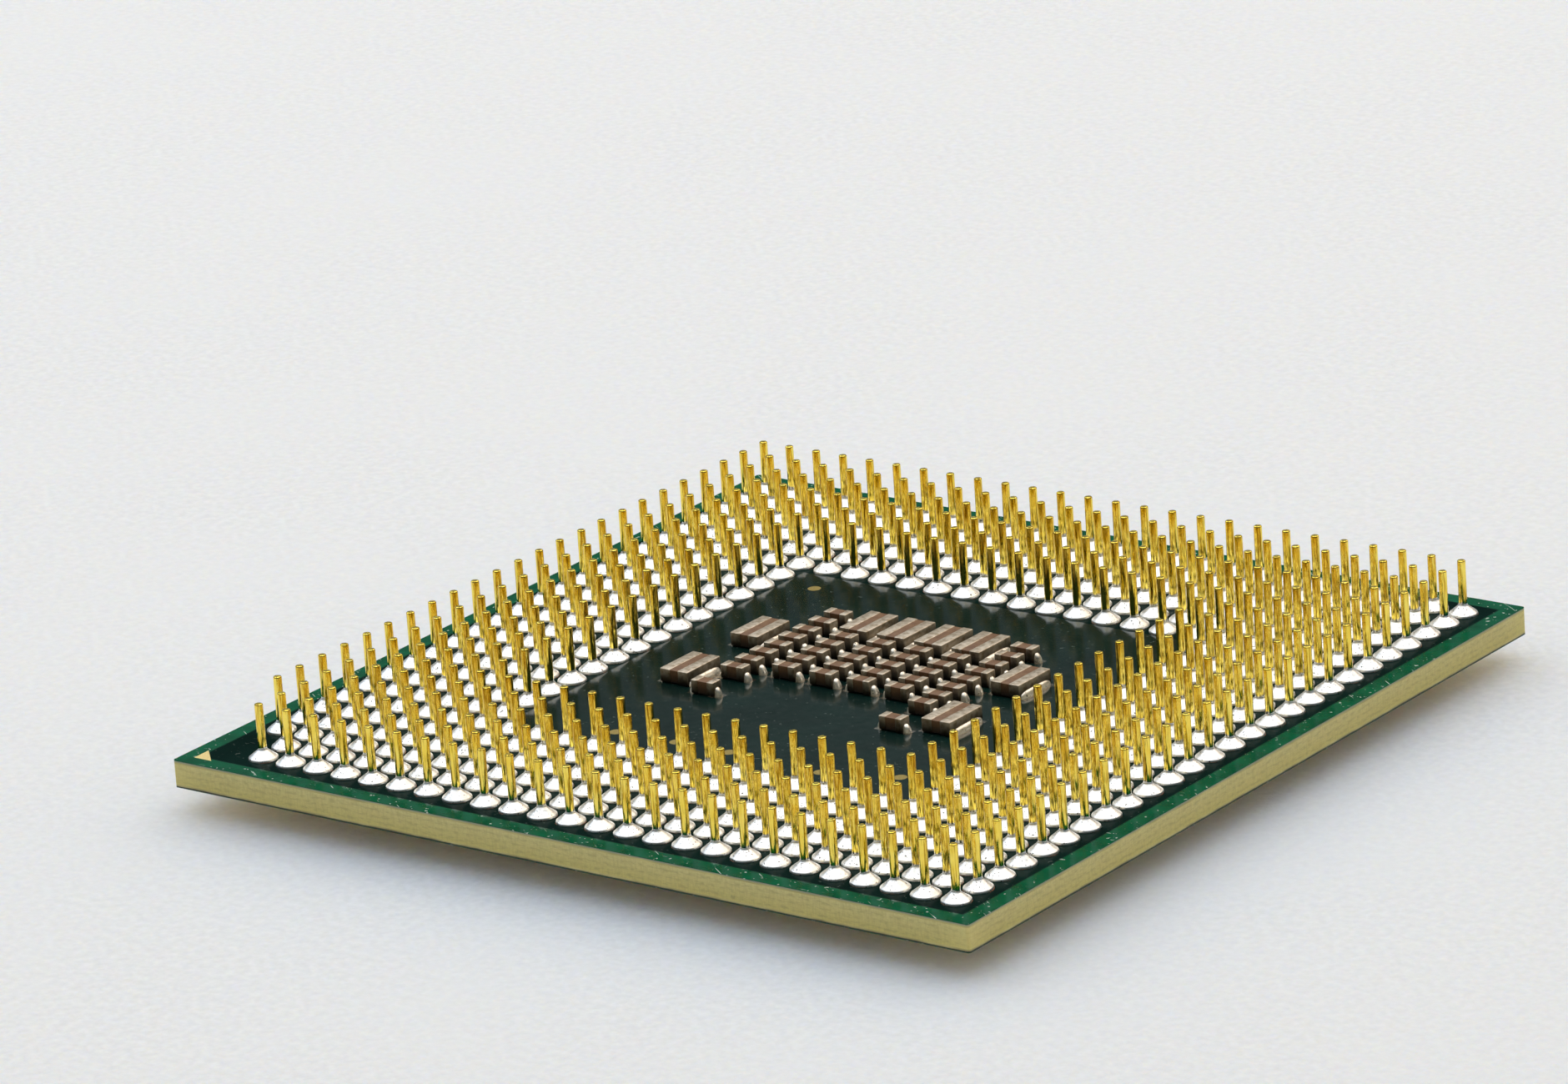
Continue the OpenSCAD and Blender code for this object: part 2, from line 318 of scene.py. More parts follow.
def lacquered_board(name, dark, green, between_joints):
    """Solder mask, a glossy screened lacquer: nearly black over the copper plane and clear green over the
    bare resin along the edges, with a soft step between the two, tiny pale specks of dust and a few
    scratches."""
    material, tree, shader, point = begin(name)
    part = add(tree, "SeparateXYZ", inputs={0: point})
    across = add(tree, "Math", {"operation": "ABSOLUTE"}, {0: part.outputs["X"]}).outputs[0]
    along = add(tree, "Math", {"operation": "ABSOLUTE"}, {0: part.outputs["Y"]}).outputs[0]
    reach = add(tree, "Math", {"operation": "MAXIMUM"}, {0: across, 1: along}).outputs[0]
    ragged = speckle(tree, point, 0.2, 0, 1)
    reach = add(tree, "Math", {"operation": "MULTIPLY_ADD"}, {0: ragged, 1: 0.03 * MM, 2: reach}).outputs[0]
    edge = ramp(tree, reach, HALF_PLANE - 0.03 * MM, HALF_PLANE + 0.06 * MM, 0, 1)
    cloudy = speckle(tree, point, 2.2, 0.3, 0.7)
    deep = mix(tree, cloudy, (*dark, 1.0), shade(dark, 1.4, 1.5, 1.5))
    clear = mix(tree, speckle(tree, point, 0.9, 0.3, 0.75), (*green, 1.0), shade(green, 0.7, 0.6, 0.6))
    colour = mix(tree, edge, deep, clear)
    # Dust and nicks gather along the edges, and are a tenth of a millimetre or less.
    dust = speckle(tree, point, 0.16, 0.72, 0.75, detail=1)
    scuffs = speckle(tree, point, 0.20, 0.70, 0.75, detail=4, stretch=(0.35, 1.6, 1))
    dust = add(tree, "Math", {"operation": "MAXIMUM"}, {0: dust, 1: scuffs}).outputs[0]
    # between_joints is the share of its gloss that flux has left the lacquer round the pins. In the middle
    # and along the edges it's untouched.
    field = ramp(tree, reach, PIN_FIELD - 0.1 * MM, PIN_FIELD, 1, between_joints)
    gloss = mix(tree, edge, field, (0.75, 0.75, 0.75, 1))
    near_edge = ramp(tree, edge, 0, 1, 0.09, 0.85)
    dust = add(tree, "Math", {"operation": "MULTIPLY"}, {0: dust, 1: near_edge}).outputs[0]
    scratches = speckle(tree, point, 0.08, 0.735, 0.77, detail=1, stretch=(0.06, 1, 1), turn=math.radians(34))
    scratches = add(tree, "Math", {"operation": "MULTIPLY"}, {0: scratches, 1: edge}).outputs[0]
    dust = add(tree, "Math", {"operation": "MAXIMUM"}, {0: dust, 1: scratches}).outputs[0]
    ripple = speckle(tree, point, 0.35, 0.2, 0.8, detail=3)
    dress(shader, tree, {
        "Base Color": mix(tree, dust, colour, linear("#C9D2C6")),
        "Roughness": ramp(tree, ripple, 0, 1, 0.10, 0.18),
        "IOR": 1.5,
        "Specular IOR Level": add(tree, "Math", {"operation": "MULTIPLY"}, {0: gloss, 1: 0.27}).outputs[0],
        "Normal": bump(tree, ripple, 0.004, 0.35),
    })
    return material


def sawn_glass_laminate(colour):
    """Glass cloth in resin, cut by a saw: pale olive tan and matt, with plies one above the other, short
    darker dashes where bundles of glass end, faint saw marks, a yellower lower half, a painted highlight near
    the corners and a few dark stains."""
    material, tree, shader, point = begin("sawn_glass_laminate")
    z = add(tree, "SeparateXYZ", inputs={0: point}).outputs["Z"]
    height = ramp(tree, z, CORE_LOW, CORE_HIGH, 0, 1)
    # Bundles of glass are about 0.45 mm apart and a ply is about 0.12 mm thick.
    plies = add(tree, "TexWave", {"wave_type": "BANDS", "bands_direction": "Z"}, {
        "Vector": point, "Scale": per_metre(0.12) / 20 * math.pi, "Distortion": 2.0, "Detail": 2,
        "Detail Scale": 0.5}).outputs["Fac"]
    bundles = speckle(tree, point, 0.14, 0.44, 0.62, detail=2, stretch=(0.55, 0.55, 2.0))
    bundles = add(tree, "Math", {"operation": "MULTIPLY"}, {0: bundles, 1: plies}).outputs[0]
    fibres = speckle(tree, point, 0.05, 0.35, 0.7, detail=3, stretch=(0.2, 0.2, 1.6))
    body = mix(tree, height, shade(colour, 0.90, 0.87, 0.62), (*colour, 1.0))
    body = mix(tree, ramp(tree, bundles, 0, 1, 0, 0.42), body, shade(colour, 0.50, 0.46, 0.40))
    body = mix(tree, ramp(tree, fibres, 0, 1, 0, 0.35), body, shade(colour, 0.66, 0.63, 0.56))
    body = mix(tree, ramp(tree, plies, 0, 1, 0.05, 0), body, shade(colour, 1.15, 1.15, 1.15))
    # The saw's teeth have left short upright strokes.
    strokes = speckle(tree, point, 0.09, 0.42, 0.68, detail=3, stretch=(1.5, 1.5, 0.35))
    body = mix(tree, ramp(tree, strokes, 0, 1, 0, 0.30), body, shade(colour, 0.60, 0.56, 0.47))
    # Painted highlight: near the board's corners the edge is painted lighter, where the corners catch the
    # light.
    part = add(tree, "SeparateXYZ", inputs={0: point})
    across = add(tree, "Math", {"operation": "ABSOLUTE"}, {0: part.outputs["X"]}).outputs[0]
    along = add(tree, "Math", {"operation": "ABSOLUTE"}, {0: part.outputs["Y"]}).outputs[0]
    far = add(tree, "Math", {"operation": "MINIMUM"}, {0: across, 1: along}).outputs[0]
    corner = ramp(tree, far, HALF_BOARD - 1.4 * MM, HALF_BOARD, 0, 0.45)
    body = mix(tree, corner, body, shade(colour, 1.12, 1.10, 0.92))
    stains = speckle(tree, point, 1.3, 0.72, 0.78, detail=5)
    body = mix(tree, ramp(tree, stains, 0, 1, 0, 0.6), body, linear("#5A563F"))
    dress(shader, tree, {
        "Base Color": body,
        "Roughness": ramp(tree, fibres, 0, 1, 0.48, 0.66),
        "IOR": 1.55,
        "Subsurface Weight": 0.12,
        "Subsurface Scale": 0.0004,
        "Normal": bump(tree, fibres, 0.01, 0.45),
    })
    return material


def build_up_film(name, colour, rim):
    """Thin moulded resin film, seen only as a line along the cut edge: satin, slightly uneven, and darker
    towards the lacquer."""
    material, tree, shader, point = begin(name)
    uneven = speckle(tree, point, 0.3, 0.3, 0.7, detail=3, stretch=(0.3, 0.3, 1))
    z = add(tree, "SeparateXYZ", inputs={0: point}).outputs["Z"]
    away = add(tree, "Math", {"operation": "SUBTRACT"}, {0: z, 1: (CORE_LOW + CORE_HIGH) / 2}).outputs[0]
    away = add(tree, "Math", {"operation": "ABSOLUTE"}, {0: away}).outputs[0]
    away = add(tree, "Math", {"operation": "MULTIPLY_ADD"}, {0: uneven, 1: 0.02 * MM, 2: away}).outputs[0]
    half = (CORE_HIGH - CORE_LOW) / 2
    rim_band = ramp(tree, away, half + 0.05 * MM, half + 0.09 * MM, 0, 1)
    body = mix(tree, uneven, (*colour, 1.0), shade(colour, 0.7, 0.68, 0.62))
    dress(shader, tree, {
        "Base Color": mix(tree, rim_band, body, (*rim, 1.0)),
        "Roughness": ramp(tree, uneven, 0, 1, 0.40, 0.55),
        "IOR": 1.55,
        "Normal": bump(tree, uneven, 0.004, 0.5),
    })
    return material


def immersion_gold(name, fresh, worn):
    """Thin gold on nickel on rolled copper: pale, satin and slightly grainy, which keeps its reflections
    soft."""
    material, tree, shader, point = begin(name)
    grain = speckle(tree, point, 0.05, 0.3, 0.7, detail=3)
    dress(shader, tree, {
        "Base Color": mix(tree, grain, linear(fresh), linear(worn)),
        "Metallic": 1.0,
        "Roughness": ramp(tree, grain, 0, 1, 0.50, 0.62),
        "Normal": bump(tree, grain, 0.003, 0.5),
    })
    return material


def electroplated_copper():
    """Bare copper from a plating bath: pink-orange and satin, with fine nodules and browner patches."""
    material, tree, shader, point = begin("electroplated_copper")
    nodules = speckle(tree, point, 0.04, 0.3, 0.7, detail=3)
    patches = speckle(tree, point, 1.2, 0.4, 0.7)
    dress(shader, tree, {
        "Base Color": mix(tree, patches, linear("#D98A63"), linear("#A9633F")),
        "Metallic": 1.0,
        "Roughness": ramp(tree, nodules, 0, 1, 0.28, 0.42),
        "Normal": bump(tree, nodules, 0.002, 0.5),
    })
    return material


def painted_base_shade(tree, point):
    """How much painted shade darkens a capacitor: most of it at the board, and none on the top."""
    z = add(tree, "SeparateXYZ", inputs={0: point}).outputs["Z"]
    ragged = speckle(tree, point, 0.2, 0.2, 0.8, detail=3)
    level = add(tree, "Math", {"operation": "MULTIPLY_ADD"}, {0: ragged, 1: 0.08 * MM, 2: z}).outputs[0]
    return ramp(tree, level, BOARD_TOP + 0.14 * MM, BOARD_TOP + 0.60 * MM, 0.94, 0)


def fired_capacitor_ceramic():
    """Fired titanate ceramic: dark brown and matt with a fine grain, paler where the top has been rubbed."""
    material, tree, shader, point = begin("fired_capacitor_ceramic")
    grain = speckle(tree, point, 0.025, 0.3, 0.7, detail=4)
    rubbed = speckle(tree, point, 0.3, 0.35, 0.7, detail=3)
    body = mix(tree, rubbed, linear("#744A20"), linear("#8C653C"))
    # Painted shade: the ceramic is painted nearly black towards the board, where shade falls on its sides.
    body = mix(tree, painted_base_shade(tree, point), body, linear("#1B130B"))
    dress(shader, tree, {
        "Base Color": mix(tree, ramp(tree, grain, 0, 1, 0, 0.35), body, linear("#3F2715")),
        "Roughness": ramp(tree, grain, 0, 1, 0.45, 0.6),
        "IOR": 1.6,
        "Normal": bump(tree, grain, 0.003, 0.4),
    })
    return material


def barrel_plated_tin():
    """Matt tin from a barrel bath: warm silver-grey with a fine crystalline grain and dull, rubbed spots."""
    material, tree, shader, point = begin("barrel_plated_tin")
    grain = speckle(tree, point, 0.03, 0.3, 0.7, detail=3)
    dull = speckle(tree, point, 0.22, 0.4, 0.7, detail=2)
    metal = mix(tree, dull, linear("#D3C6B2"), linear("#A39178"))
    # Painted shade: the metal ends are painted dark towards the board, where shade falls.
    dress(shader, tree, {
        "Base Color": mix(tree, painted_base_shade(tree, point), metal, linear("#33291C")),
        "Metallic": 1.0,
        "Roughness": ramp(tree, grain, 0, 1, 0.42, 0.55),
        "Normal": bump(tree, grain, 0.003, 0.6),
    })
    return material


def ground_silicon():
    """Back of a silicon die, ground and polished: dark steel grey and nearly a mirror, with very fine,
    slightly curved grinding marks."""
    material, tree, shader, point = begin("ground_silicon")
    shifted = add(tree, "Mapping", inputs={"Vector": point, "Location": (0.11, 0.04, 0)}).outputs["Vector"]
    # Grinding marks are a few micrometres apart; these are 0.12 mm, so that they show.
    marks = add(tree, "TexWave", {"wave_type": "RINGS", "rings_direction": "Z"}, {
        "Vector": shifted, "Scale": per_metre(0.12) / 20, "Distortion": 0.6, "Detail": 3})
    haze = speckle(tree, point, 3, 0.3, 0.7)
    dress(shader, tree, {
        "Base Color": mix(tree, haze, linear("#8E9299"), linear("#7B7F88")),
        "Metallic": 1.0,
        "Roughness": ramp(tree, marks.outputs["Fac"], 0, 1, 0.10, 0.17),
        "Normal": bump(tree, marks.outputs["Fac"], 0.0006, 0.4),
    })
    return material


def cured_underfill():
    """Filled epoxy that crept under the die and set: blue-black and satin, with a fine orange-peel
    surface."""
    material, tree, shader, point = begin("cured_underfill")
    peel = speckle(tree, point, 0.12, 0.3, 0.7, detail=3)
    dress(shader, tree, {
        "Base Color": mix(tree, peel, linear("#1A2029"), linear("#262E3A")),
        "Roughness": ramp(tree, peel, 0, 1, 0.24, 0.36),
        "IOR": 1.54,
        "Normal": bump(tree, peel, 0.006, 0.4),
    })
    return material


def pressed_paper(colour):
    """Heavy matt paper: pale, with a fine felt of fibres."""
    material, tree, shader, point = begin("pressed_paper")
    felt = speckle(tree, point, 0.35, 0.3, 0.7, detail=5)
    cloud = speckle(tree, point, 14, 0.35, 0.65)
    body = mix(tree, felt, (*colour, 1.0), shade(colour, 0.90, 0.90, 0.90))
    dress(shader, tree, {
        "Base Color": mix(tree, ramp(tree, cloud, 0, 1, 0, 0.5), body, shade(colour, 0.97, 0.97, 0.97)),
        "Roughness": 0.9,
        "IOR": 1.45,
        "Subsurface Weight": 1.0,
        "Subsurface Radius": (1.0, 0.80, 0.55),
        "Subsurface Scale": 0.02,
        "Normal": bump(tree, felt, 0.05, 0.5),
    })
    return material


# ---------------------------------------------------------------- meshes


class Shape:
    """Points and faces collected for one mesh."""

    def __init__(self):
        self.points = []
        self.faces = []

    def add(self, points, faces):
        start = len(self.points)
        self.points += points
        self.faces += [[start + i for i in face] for face in faces]

    def grid(self, rows, close_round=True, cap_last=False):
        """Faces between rows of equally many points, each row a ring unless close_round is off."""
        count = len(rows[0])
        steps = count if close_round else count - 1
        faces = []
        for r in range(len(rows) - 1):
            for i in range(steps):
                j = (i + 1) % count
                faces.append([r * count + i, r * count + j, (r + 1) * count + j, (r + 1) * count + i])
        if cap_last:
            faces.append([(len(rows) - 1) * count + i for i in range(count)])
        self.add([p for row in rows for p in row], faces)


def publish(name, shape, material, replaced=()):
    """Makes a mesh object of a shape, dresses it and puts it on the object's one body."""
    mesh = bpy.data.meshes.new(name)
    mesh.from_pydata([tuple(p) for p in shape.points], [], shape.faces)
    mesh.validate()
    mesh.materials.append(material)
    mesh.shade_smooth()
    piece = bpy.data.objects.new(name, mesh)
    bpy.context.scene.collection.objects.link(piece)
    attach(piece, "root")
    if replaced:
        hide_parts(*replaced)


def dress_nodes(material, *names):
    """Gives CAD nodes that stay in view a material."""
    for name in names:
        data = NODES[name].data
        data.materials.clear()
        data.materials.append(material)


def turned(profile, sides, place, lean=(0, 0)):
    """Rings of a profile of (radius, height) turned round an upright axis through place. lean is the sideways
    move per unit of height."""
    rings = []
    for radius, height in profile:
        ring = []
        for i in range(sides):
            angle = math.tau * i / sides
            ring.append((
                place.x + radius * math.cos(angle) + lean[0] * height,
                place.y + radius * math.sin(angle) + lean[1] * height,
                place.z + height))
        rings.append(ring)
    return rings


def through(knots, steps):
    """Points on a smooth curve through the knots, steps to each stretch."""
    ends = [knots[0], *knots, knots[-1]]
    points = []
    for k in range(1, len(ends) - 2):
        p0, p1, p2, p3 = (Vector(p) for p in ends[k - 1 : k + 3])
        for s in range(steps):
            t = s / steps
            points.append(0.5 * (
                2 * p1 + (p2 - p0) * t + (2 * p0 - 5 * p1 + 4 * p2 - p3) * t**2
                + (3 * p1 - p0 - 3 * p2 + p3) * t**3))
    return points + [Vector(knots[-1])]


def rounded_box(shape, low, high, radius, segments=3):
    """Adds a box with round edges."""
    bm = bmesh.new()
    size, mid = high - low, (low + high) / 2
    bmesh.ops.create_cube(bm, size=1, matrix=Matrix.Translation(mid) @ Matrix.Diagonal((*size, 1)))
    bmesh.ops.bevel(bm, geom=bm.edges[:], offset=radius, segments=segments, profile=0.5, affect="EDGES")
    bm.verts.index_update()
    shape.add([tuple(v.co) for v in bm.verts], [[v.index for v in f.verts] for f in bm.faces])
    bm.free()


# ---------------------------------------------------------------- operators, one for each kind of piece


class PROCESSOR_OT_pins(bpy.types.Operator):
    """Makes each row of gold pins, with round-edged, slightly dimpled ends"""

    bl_idname = "processor.pins"
    bl_label = "Pins"

    def execute(self, context):
        settings = context.scene.processor
        rng = random.Random(11)
        gold = drawn_gold_plating(settings.gold)
        length = PIN_TOP - BOARD_TOP
        edge = 0.045 * MM
        dimple = settings.pin_dimple
        profile = [
            (PIN_R, 0), (PIN_R, length * 0.5), (PIN_R, length - 1.1 * edge),
            (PIN_R - 0.08 * edge, length - 0.62 * edge), (PIN_R - 0.30 * edge, length - 0.29 * edge),
            (PIN_R - 0.62 * edge, length - 0.08 * edge), (PIN_R - edge, length),
            (PIN_R * 0.45, length - 0.4 * dimple), (PIN_R * 0.2, length - 0.85 * dimple),
            (PIN_R * 0.04, length - dimple)]
        for row, places in PINS.items():
            shape = Shape()
            for place in places:
                turn = rng.uniform(0, math.tau)
                slope = math.tan(rng.uniform(0, settings.pin_lean))
                lean = (slope * math.cos(turn), slope * math.sin(turn))
                foot = Vector((place.x, place.y, BOARD_TOP))
                shape.grid(turned(profile, settings.pin_sides, foot, lean), cap_last=True)
            publish(row.replace("pin_row", "pins_row"), shape, gold, [row])
        return {"FINISHED"}


class PROCESSOR_OT_solder_joints(bpy.types.Operator):
    """Makes the solder joint round each pin: a full rim, an easy slope and a thin neck that climbs the pin"""

    bl_idname = "processor.solder_joints"
    bl_label = "Solder joints"

    def execute(self, context):
        settings = context.scene.processor
        rng = random.Random(23)
        solder = reflowed_solder("reflowed_solder", "#FBFAF7", "#EDECE8", 0.34, 0.48)
        # Shares of the way in from the rim to the pin, and of the joint's height.
        outline = through([
            (0, 0), (0.005, 0.06), (0.02, 0.11), (0.05, 0.165), (0.12, 0.22), (0.35, 0.385), (0.60, 0.56),
            (0.80, 0.70), (0.90, 0.775), (0.955, 0.84), (0.985, 0.92), (1.0, 1.0)], 2)
        for number, (row, places) in enumerate(PINS.items()):
            shape = Shape()
            for place in places:
                bulge = [
                    (k, rng.uniform(0, settings.joint_wobble), rng.uniform(0, math.tau)) for k in (2, 3, 5)]
                height = JOINT_H * rng.uniform(0.94, 1.04)
                side = rng.uniform(0, math.tau)
                climb = rng.uniform(0.0, 0.10)
                rings = []
                for share, level in outline:
                    radius = JOINT_R + (PIN_R * 0.985 - JOINT_R) * share
                    ring = []
                    for i in range(settings.joint_sides):
                        angle = math.tau * i / settings.joint_sides
                        swell = 1 + (1 - share) * sum(a * math.sin(k * angle + p) for k, a, p in bulge)
                        z = height * level * (1 + climb * level * math.cos(angle - side))
                        ring.append((
                            place.x + radius * swell * math.cos(angle),
                            place.y + radius * swell * math.sin(angle),
                            BOARD_TOP + z))
                    rings.append(ring)
                shape.grid(rings)
            replaced = ["pin_solder"] if number == 0 else []
            publish(row.replace("pin_row", "solder_row"), shape, solder, replaced)
        return {"FINISHED"}


class PROCESSOR_OT_board(bpy.types.Operator):
    """Dresses the layers of the board, the gold marks and what is buried between them"""

    bl_idname = "processor.board"
    bl_label = "Board"

    def execute(self, context):
        settings = context.scene.processor
        top = lacquered_board("lacquered_board", settings.mask_dark, settings.mask_green, between_joints=0.02)
        dress_nodes(top, "solder_mask_pin_side")
        under = lacquered_board(
            "lacquered_underside", linear("#0D4433")[:3], settings.mask_green, between_joints=1)
        dress_nodes(under, "solder_mask_die_side")
        dress_nodes(sawn_glass_laminate(settings.laminate), "laminate_core")
        resin = shade(settings.laminate, 0.88, 0.86, 0.78)[:3]
        upper = build_up_film("build_up_film_pin_side", resin, linear("#9DA184")[:3])
        dress_nodes(upper, "build_up_pin_side")
        lower = build_up_film("build_up_film_die_side", resin, linear("#33342A")[:3])
        dress_nodes(lower, "build_up_die_side")
        dress_nodes(immersion_gold("immersion_gold", "#F8E6A8", "#E6CC86"), "pin_one_mark", "pin_heads")
        # The test pads are given a darker, duller gold than the gold marks.
        dress_nodes(immersion_gold("darker_pad_gold", "#B9A566", "#8F7C45"), "test_pads")
        dress_nodes(
            electroplated_copper(), "copper_plane_pin_side", "copper_plane_die_side", "core_vias", "pin_pads",
            "bump_pads")
        return {"FINISHED"}


class PROCESSOR_OT_capacitors(bpy.types.Operator):
    """Makes the small and large capacitors: ceramic bodies, metal ends and the solder in front of them"""

    bl_idname = "processor.capacitors"
    bl_label = "Capacitors"

    def execute(self, context):
        radius = context.scene.processor.cap_round
        ceramic, tin = fired_capacitor_ceramic(), barrel_plated_tin()
        solder = reflowed_solder("frosted_solder", "#FFF8EA", "#F6ECD8", 0.30, 0.42, metal=0.85)
        slopes = Shape()
        for size in ("small", "large"):
            blocks, ends = Shape(), Shape()
            for low, high in solid_boxes(f"{size}_capacitor_bodies"):
                rounded_box(blocks, low, high, radius * 0.6)
            for low, high in solid_boxes(f"{size}_capacitor_terminals"):
                rounded_box(ends, low, high, radius)
            bodies, terminals = f"{size}_capacitor_bodies", f"{size}_capacitor_terminals"
            publish(f"{size}_capacitor_blocks", blocks, ceramic, [bodies])
            publish(f"{size}_capacitor_ends", ends, tin, [terminals])
        self.solder_slopes(slopes)
        publish("capacitor_fillets", slopes, solder, ["capacitor_solder"])
        dress_nodes(reflowed_solder("wetting_solder", "#A8A296", "#8C8578", 0.16, 0.26), "capacitor_pads")
        return {"FINISHED"}

    def solder_slopes(self, shape):
        """A full, round-sided drop of solder from the face of each metal end to the toe of its pad. The drop
        is narrower than a small capacitor, and as wide as a large one."""
        rng = random.Random(5)
        ends = solid_boxes("small_capacitor_terminals") + solid_boxes("large_capacitor_terminals")
        across, down = 20, 10
        for low, high in solid_boxes("capacitor_solder"):
            mid = (low + high) / 2
            owner = min(ends, key=lambda b: (middle(b) - mid).length)
            outward = 1 if mid.x > middle(owner).x else -1
            face = owner[1].x if outward > 0 else owner[0].x
            reach = ((high.x - face) if outward > 0 else (face - low.x)) * rng.uniform(0.82, 0.98)
            half = (high.y - low.y) / 2
            wide = half > 0.5 * MM
            half *= 0.97 if wide else rng.uniform(0.66, 0.80)
            aside = 0 if wide else rng.uniform(-0.02, 0.02) * MM
            climb = (high.z - low.z) * (rng.uniform(0.68, 0.76) if wide else rng.uniform(0.85, 1.08))
            rows = []
            for v in range(down + 1):
                t = math.pi / 2 * v / down
                row = []
                for u in range(across + 1):
                    s = math.sin(math.pi * (u / across - 0.5))
                    full = max(0.0, 1 - abs(s) ** (4 if wide else 2.6)) ** 0.5
                    out = reach * full * math.sin(t) ** 1.2
                    up = climb * full ** 0.7 * math.cos(t) ** 1.2
                    row.append((face + outward * (out - 0.004 * MM), mid.y + aside + s * half, low.z + up))
                rows.append(row)
            if outward > 0:
                rows = [list(reversed(row)) for row in rows]
            shape.grid(rows, close_round=False)


class PROCESSOR_OT_die_side(bpy.types.Operator):
    """Makes the silicon die and the resin fillet round it, and dresses the bumps above it"""

    bl_idname = "processor.die_side"
    bl_label = "Die side"

    def execute(self, context):
        low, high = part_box("silicon_die")
        die = Shape()
        rounded_box(die, low, high, 0.02 * MM, segments=2)
        publish("die", die, ground_silicon(), ["silicon_die"])
        self.fillet(low, high)
        dress_nodes(bpy.data.materials["reflowed_solder"], "die_bumps")
        return {"FINISHED"}

    def fillet(self, die_low, die_high):
        """A dished band of resin from the side of the die out to the board, with corners that open out as it
        spreads."""
        low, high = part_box("underfill")
        run, rise = die_low.x - low.x, high.z - low.z
        steps, corner_steps = 12, 8
        rings = []
        for s in range(steps + 1):
            t = s / steps
            spread = run * (1 - math.cos(t * math.pi / 2)) * 0.98
            drop = rise * (1 - math.sin(t * math.pi / 2))
            z = high.z - drop
            corner = 0.05 * MM + spread * 1.15
            half_x = (die_high.x - die_low.x) / 2 + spread
            half_y = (die_high.y - die_low.y) / 2 + spread
            ring = []
            for quarter in range(4):
                sx, sy = [(1, 1), (-1, 1), (-1, -1), (1, -1)][quarter]
                centre = Vector((sx * (half_x - corner), sy * (half_y - corner)))
                for c in range(corner_steps + 1):
                    angle = math.pi / 2 * (quarter + c / corner_steps)
                    ring.append((centre.x + corner * math.cos(angle), centre.y + corner * math.sin(angle), z))
            rings.append(ring)
        shape = Shape()
        shape.grid([list(reversed(ring)) for ring in rings])
        publish("underfill_fillet", shape, cured_underfill(), ["underfill"])


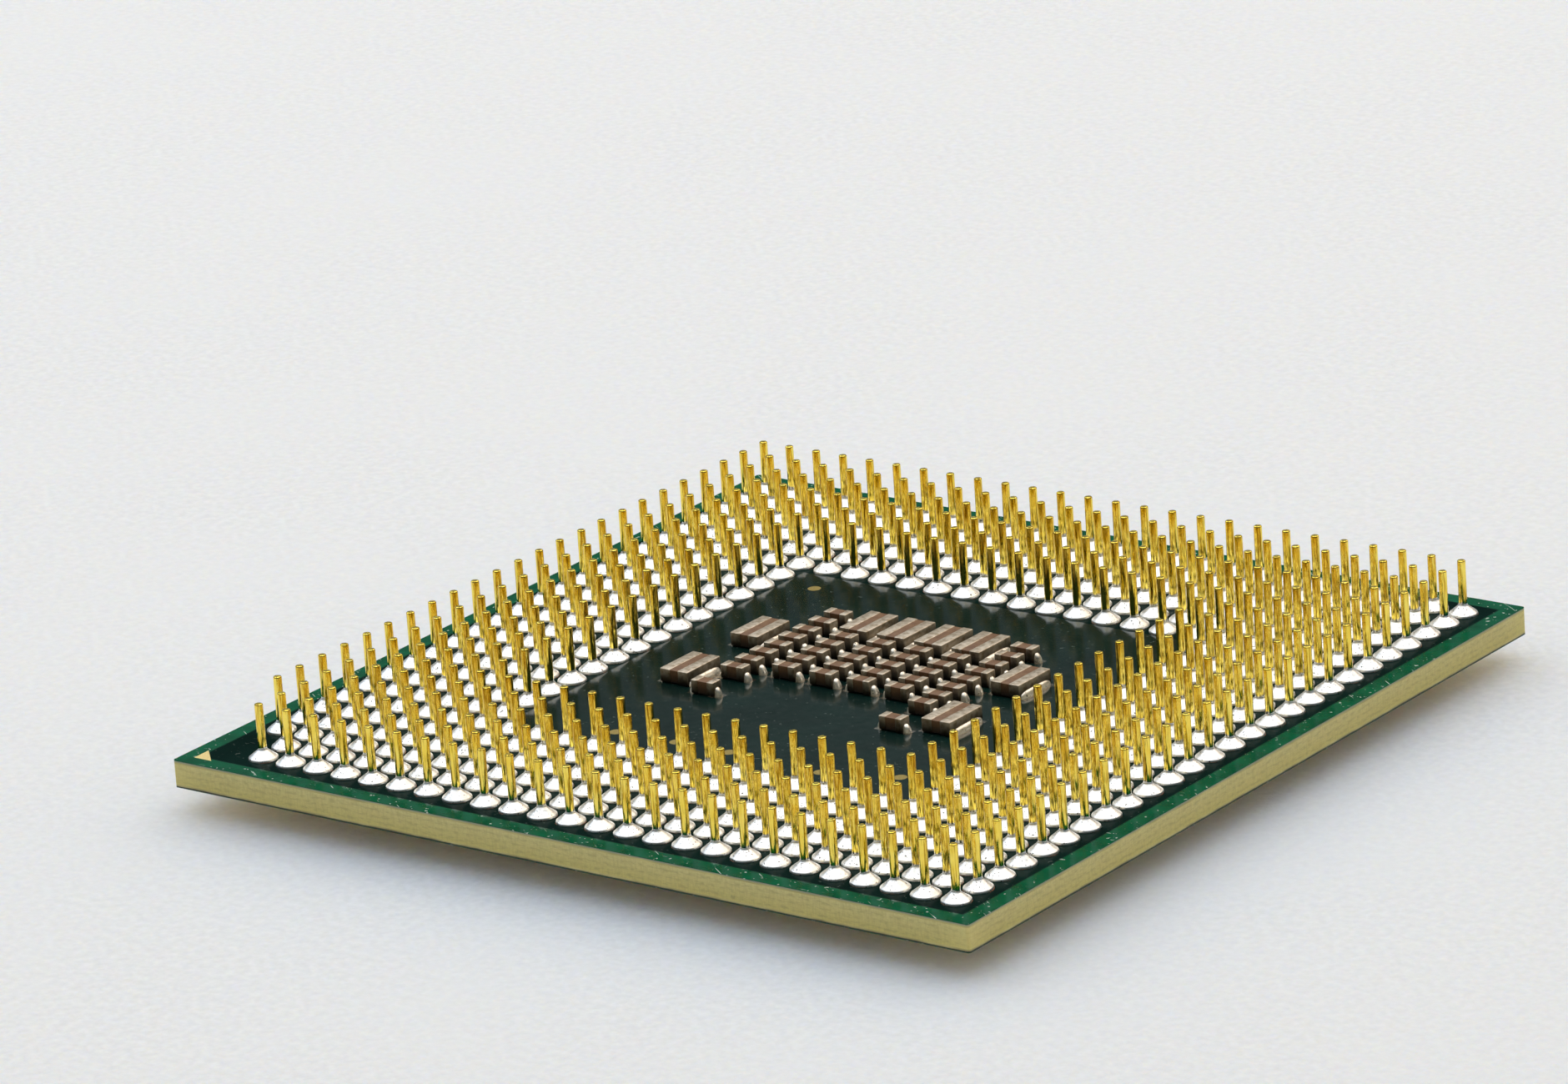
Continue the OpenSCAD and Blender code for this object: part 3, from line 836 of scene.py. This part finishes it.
class PROCESSOR_OT_stage(bpy.types.Operator):
    """Makes the paper floor, the soft lights and the camera"""

    bl_idname = "processor.stage"
    bl_label = "Stage"

    def execute(self, context):
        settings = context.scene.processor_stage
        self.floor(settings)
        self.lights(settings)
        self.camera(settings)
        context.scene.view_settings.view_transform = "Standard"
        return {"FINISHED"}

    def floor(self, settings):
        half = 1.5
        mesh = bpy.data.meshes.new("paper_floor")
        corners = [(-half, -half, 0), (half, -half, 0), (half, half, 0), (-half, half, 0)]
        mesh.from_pydata(corners, [], [[0, 1, 2, 3]])
        mesh.materials.append(pressed_paper(settings.paper))
        floor = bpy.data.objects.new("paper_floor", mesh)
        bpy.context.scene.collection.objects.link(floor)

    def lights(self, settings):
        # Each softbox: name, turn from the far side to the right, height above the horizon, distance, width,
        # height, radiance and colour.
        boxes = [
            ("overhead", 0, 80, 0.90, 0.62, 0.62, settings.overhead, "#FFFFFF"),
            ("window_left", -52, 42, 0.80, 0.60, 0.34, settings.windows, "#DCEBFF"),
            ("window_right", 52, 42, 0.80, 0.60, 0.34, settings.windows, "#FFE2C2"),
        ]
        for name, turn, height, distance, width, tall, radiance, colour in boxes:
            heading = settings.azimuth - math.radians(turn)
            rise = math.radians(height)
            away = Vector((-math.sin(heading), math.cos(heading), 0)) * math.cos(rise)
            away += Vector((0, 0, math.sin(rise)))
            self.softbox(name, away * distance, width, tall, radiance, colour)
        world = bpy.data.worlds.new("studio")
        bpy.context.scene.world = world
        world.use_nodes = True
        tree = world.node_tree
        tree.nodes.clear()
        lean = settings.ceiling_lean
        far = settings.azimuth
        axis = (-math.sin(far) * math.sin(lean), math.cos(far) * math.sin(lean), math.cos(lean))
        way = add(tree, "TexCoord").outputs["Generated"]
        high = add(tree, "VectorMath", {"operation": "DOT_PRODUCT"}, {0: way, 1: axis}).outputs["Value"]
        open_to = add(tree, "MapRange", {"interpolation_type": "SMOOTHSTEP"}, {
            "Value": high, "From Min": math.cos(math.radians(60)),
            "From Max": math.cos(math.radians(46))}).outputs[0]
        colour = mix(tree, open_to, (*settings.horizon, 1.0), (*settings.ceiling, 1.0))
        sky = add(tree, "Background", inputs={"Color": colour, "Strength": 1.0})
        add(tree, "OutputWorld", inputs={"Surface": sky.outputs[0]})

    def softbox(self, name, place, width, tall, radiance, colour):
        light = bpy.data.lights.new(name, "AREA")
        light.shape = "RECTANGLE"
        light.size = width
        light.size_y = tall
        light.energy = radiance * math.pi * width * tall
        light.color = linear(colour)[:3]
        box = bpy.data.objects.new(name, light)
        box.location = place
        box.rotation_euler = (-place).to_track_quat("-Z", "Y").to_euler()
        box.visible_camera = False
        bpy.context.scene.collection.objects.link(box)

    def camera(self, settings):
        az, el, roll = settings.azimuth, settings.elevation, settings.roll
        back = Vector((math.sin(az) * math.cos(el), -math.cos(az) * math.cos(el), math.sin(el)))
        level = Vector((math.cos(az), math.sin(az), 0))
        upright = back.cross(level)
        right = level * math.cos(roll) + upright * math.sin(roll)
        up = upright * math.cos(roll) - level * math.sin(roll)
        data = bpy.data.cameras.new("camera")
        data.lens = settings.lens
        data.sensor_width = 36
        data.clip_start = 0.01
        camera = bpy.data.objects.new("camera", data)
        aim = Vector((0, 0, BOARD_TOP))
        place = aim + back * settings.distance + right * settings.shift_right + up * settings.shift_up
        turn = Matrix((right, up, back)).transposed().to_4x4()
        camera.matrix_world = Matrix.Translation(place) @ turn
        bpy.context.scene.collection.objects.link(camera)
        bpy.context.scene.camera = camera


class PROCESSOR_PT_panel(bpy.types.Panel):
    """Lists the pieces in the order they are made"""

    bl_label = "Pin Grid Processor"
    bl_idname = "PROCESSOR_PT_panel"
    bl_space_type = "VIEW_3D"
    bl_region_type = "UI"
    bl_category = "Processor"

    def draw(self, context):
        for group in (context.scene.processor, context.scene.processor_stage):
            for name in group.bl_rna.properties.keys():
                if name not in ("rna_type", "name"):
                    self.layout.prop(group, name)
        for operator in OPERATORS:
            self.layout.operator(operator.bl_idname)


OPERATORS = (
    PROCESSOR_OT_stage, PROCESSOR_OT_pins, PROCESSOR_OT_solder_joints, PROCESSOR_OT_board,
    PROCESSOR_OT_capacitors, PROCESSOR_OT_die_side)
CLASSES = (ProcessorSettings, StageSettings, *OPERATORS, PROCESSOR_PT_panel)


def register():
    for cls in CLASSES:
        bpy.utils.register_class(cls)
    bpy.types.Scene.processor = PointerProperty(type=ProcessorSettings)
    bpy.types.Scene.processor_stage = PointerProperty(type=StageSettings)


def unregister():
    del bpy.types.Scene.processor_stage
    del bpy.types.Scene.processor
    for cls in reversed(CLASSES):
        bpy.utils.unregister_class(cls)


def main():
    register()
    for operator in OPERATORS:
        group, name = operator.bl_idname.split(".")
        getattr(getattr(bpy.ops, group), name)()


if __name__ == "__main__":
    main()
